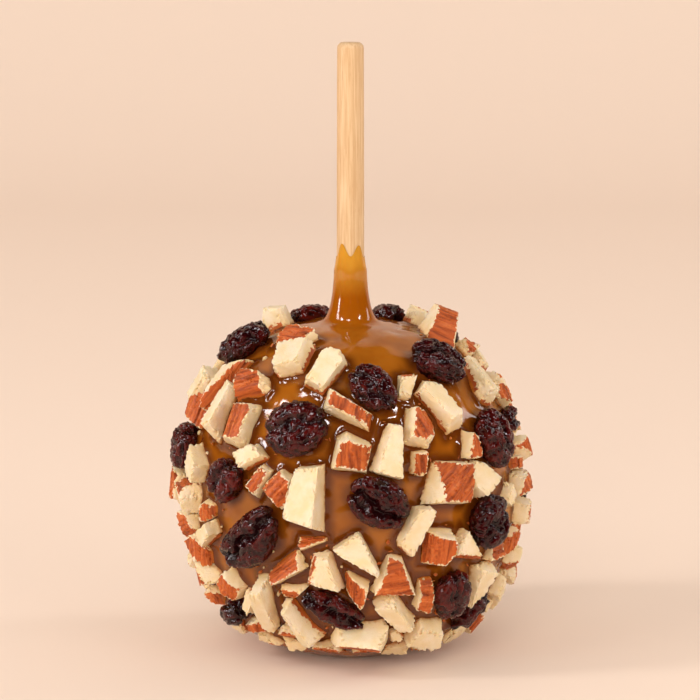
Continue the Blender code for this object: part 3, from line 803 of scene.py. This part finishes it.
def caramel_material():
    made, tree, shader = new_material("caramel", IOR=1.45, Roughness=0.1, Subsurface_Weight=0.3, Subsurface_Scale=0.0014)
    shader.inputs["Subsurface Radius"].default_value = (1.6, 0.6, 0.16)
    thick = field(tree, "thick")
    mottle = texture(tree, object_mm(tree, (0.12, 0.12, 0.12)), 2.0)
    body = blend(tree, remap(tree, mottle, 0.35, 0.65), colour(138, 74, 11), colour(158, 90, 19))
    thin = remap(tree, thick, 0.2, 1.2)
    base = blend(tree, thin, colour(196, 136, 42), colour(152, 79, 4))
    base = blend(tree, remap(tree, thick, 1.0, 7.0), base, body)
    # Darker, deeper brown within 2.8 mm of a topping: partly the thicker caramel pooled round the feet, partly painted
    # shade between the pieces.
    base = blend(tree, remap(tree, field(tree, "gap"), 2.8, 0.2, 0.0, 0.9), base, colour(84, 34, 5))
    tree.links.new(base, shader.inputs["Base Color"])
    return made


def wood_material():
    made, tree, shader = new_material("birch", Roughness=0.55, IOR=1.45)
    grain = texture(tree, object_mm(tree, (2.2, 2.2, 0.09)), 4.0, 0.6)
    broad = texture(tree, object_mm(tree, (0.5, 0.5, 0.03)), 2.0)
    base = blend(tree, remap(tree, grain, 0.35, 0.65), colour(198, 158, 112), colour(214, 181, 139))
    base = blend(tree, remap(tree, broad, 0.45, 0.7, 0.0, 0.35), base, colour(195, 152, 104))
    pores = texture(tree, object_mm(tree, (5.0, 5.0, 0.35)), 2.0)
    base = blend(tree, remap(tree, pores, 0.66, 0.74, 0.0, 0.4), base, colour(168, 114, 68))
    tree.links.new(base, shader.inputs["Base Color"])
    bumped(tree, shader, grain, 0.08, 0.5)
    return made


# ---------------------------------------------------------------- the stick


def stick_form():
    """The dowel, a little thicker below, with a worn bevel round its sawn top."""
    low, high = (np.array(v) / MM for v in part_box("stick"))
    radius = (high[0] - low[0]) / 2
    line = [(0.02, high[2]), (radius * 0.45, high[2] - 0.02), (radius * 0.68, high[2] - 0.05),
            (radius * 0.80, high[2] - 0.35), (radius * 0.92, high[2] - 0.85), (radius * 0.955, high[2] - 1.4)]
    collar = rings[0][1]
    line += [(radius * (1 - 0.045 * (z - collar) / (high[2] - collar)), z) for z in np.arange(high[2] - 3, collar, -2)]
    line += [(radius, collar), (radius, low[2]), (0.02, low[2])]
    columns = 96
    bearings = np.arange(columns) / columns * 2 * math.pi
    points = np.array([(r * math.sin(b), -r * math.cos(b), z) for r, z in line for b in bearings])
    around = np.hypot(points[:, 0], points[:, 1])
    worn = noise(points / np.array([1.4, 1.4, 1.2]), 11) * 0.16 * (points[:, 2] > high[2] - 1.2)
    worn += noise(points / np.array([2.5, 2.5, 18]), 12) * 0.05
    stretch = np.clip(1 + worn / np.maximum(around, 1), 0, 1.02)
    points[:, :2] *= stretch[:, None]
    i, j = (g.ravel() for g in np.meshgrid(np.arange(len(line) - 1), np.arange(columns), indexing="ij"))
    a, b = i * columns + j, i * columns + (j + 1) % columns
    c, d = b + columns, a + columns
    return points, np.vstack((np.column_stack((a, d, c)), np.column_stack((a, c, b)))), {}


# ---------------------------------------------------------------- putting it together


def place_almonds(forms, look):
    """The almonds in as few pieces as the limit on triangles allows, left to right from the front."""
    forms = sorted(forms, key=lambda f: math.atan2(f[1][0][:, 0].mean(), -f[1][0][:, 1].mean()))
    total = sum(len(f[1][1]) for f in forms)
    share = total / math.ceil(total / PIECE_LIMIT) + 5000
    groups, count = [[]], 0
    for each in forms:
        if count > share:
            groups.append([])
            count = 0
        groups[-1].append(each)
        count += len(each[1][1])
    for number, group in enumerate(groups, 1):
        points, triangles, fields = merged([f[1] for f in group])
        fields["sunk"], _ = on_coat(points)
        piece = make_mesh(f"chopped_almonds_{number}", points, triangles, look, 38, **fields)
        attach(piece, "root")
        named = [f[0] for f in group if f[0]]
        if named:
            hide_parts(*named)
    return total


almonds, walls = almond_forms()
almond_look = almond_material()
total = place_almonds(almonds, almond_look)

cherries = []
for name in sorted(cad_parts):
    if name.startswith("cherry"):
        corners, triangles = welded(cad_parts[name])
        cherries.append((name, fine_cherry(corners, triangles, len(cherries))))
        walls.append((corners, triangles))
points, triangles, fields = merged([c[1] for c in cherries])
piece = make_mesh("dried_cherries", points, triangles, cherry_material(), **fields)
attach(piece, "root")
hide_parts(*[c[0] for c in cherries])
print("triangles: almonds", total, "in", len(almonds), "cherries", len(triangles))

toppings = nearness_to(walls)
points, triangles, fields = almond_crumbs(toppings)
fields["sunk"], _ = on_coat(points)
fields["sunk"] += 0.6
crumbs = make_mesh("almond_crumbs", points, triangles, almond_look, 50, **fields)
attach(crumbs, "root")
print("triangles: crumbs", len(triangles))

points, triangles, fields = coat_form(toppings)
coat = make_mesh("caramel_coat", points, triangles, caramel_material(), **fields)
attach(coat, "root")
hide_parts("coated_apple")
print("triangles: coat", len(triangles))

points, triangles, fields = stick_form()
stick = make_mesh("birch_stick", points, triangles, wood_material(), **fields)
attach(stick, "root")
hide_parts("stick")


# ---------------------------------------------------------------- floor, light and camera


def backdrop():
    """A pale floor that turns up into a wall far behind."""
    rows = [(-1.6, 0.0), (0.9, 0.0)]
    rows += [(0.9 + 0.8 * math.sin(a), 0.8 - 0.8 * math.cos(a)) for a in np.linspace(0.1, math.pi / 2, 14)]
    rows.append((1.7, 2.6))
    points = [(x, y, z) for y, z in rows for x in (-2.5, 2.5)]
    faces = [(2 * k, 2 * k + 1, 2 * k + 3, 2 * k + 2) for k in range(len(rows) - 1)]
    mesh = bpy.data.meshes.new("floor")
    mesh.from_pydata(points, [], faces)
    mesh.shade_smooth()
    made, tree, shader = new_material("paper", Roughness=0.9, IOR=1.3)
    shader.inputs["Base Color"].default_value = colour(244, 222, 203)
    mesh.materials.append(made)
    floor = bpy.data.objects.new("floor", mesh)
    bpy.context.scene.collection.objects.link(floor)


def soft_box(name, bearing, rise, distance, size, power, tint, lights=True, shines=True):
    """An area light aimed at the apple's middle, that lights surfaces, shines back from them, or both."""
    light = bpy.data.lights.new(name, "AREA")
    light.shape = "RECTANGLE"
    light.size, light.size_y = size
    light.energy = power
    light.color = tint
    lamp = bpy.data.objects.new(name, light)
    bearing, rise = math.radians(bearing), math.radians(rise)
    flat = math.cos(rise)
    aim = Vector((math.sin(bearing) * flat, -math.cos(bearing) * flat, math.sin(rise)))
    lamp.location = aim * distance + Vector((0, 0, 0.045))
    lamp.rotation_euler = aim.to_track_quat("Z", "Y").to_euler()
    lamp.visible_diffuse = lights
    lamp.visible_glossy = shines
    bpy.context.scene.collection.objects.link(lamp)


backdrop()
soft_box("key", -72, 34, 1.9, (0.28, 0.5), 9, (1.0, 0.96, 0.94))
soft_box("front", -6, 22, 2.2, (1.1, 1.0), 19, (1.0, 0.96, 0.93), shines=False)
soft_box("fill left", -54, 12, 2.0, (0.9, 0.6), 12, (1.0, 0.96, 0.92), shines=False)
soft_box("fill right", 46, 12, 2.0, (0.9, 0.6), 10, (1.0, 0.96, 0.92), shines=False)
soft_box("side", 104, 26, 1.7, (0.3, 0.9), 5, (1.0, 0.97, 0.95))
soft_box("spark left", -50, 46, 1.6, (0.24, 0.34), 7, (1.0, 0.96, 0.98), lights=False)
soft_box("spark top", -10, 56, 1.6, (0.26, 0.18), 5, (1.0, 0.96, 0.98), lights=False)
soft_box("spark right", 52, 40, 1.6, (0.18, 0.28), 6, (1.0, 0.96, 0.98), lights=False)
soft_box("spark low left", -70, 16, 1.6, (0.2, 0.44), 9, (1.0, 0.96, 0.98), lights=False)
world = bpy.data.worlds.new("studio")
world.use_nodes = True
world.node_tree.nodes["Background"].inputs["Color"].default_value = (1.0, 0.96, 0.93, 1)
world.node_tree.nodes["Background"].inputs["Strength"].default_value = 0.6
world.cycles_visibility.glossy = False
bpy.context.scene.world = world
bpy.context.scene.view_settings.view_transform = "Standard"

low, high = cad_box
camera = bpy.data.cameras.new("camera")
camera.lens = 174.9
camera.clip_end = 20
eye = bpy.data.objects.new("camera", camera)
aim = Vector((-0.0001, 0.0, high[2] * 0.4955))
rise, away = math.radians(9), 0.8
eye.location = aim + Vector((0, -away * math.cos(rise), away * math.sin(rise)))
eye.rotation_euler = (math.radians(90) - rise, 0, 0)
bpy.context.scene.collection.objects.link(eye)
bpy.context.scene.camera = eye
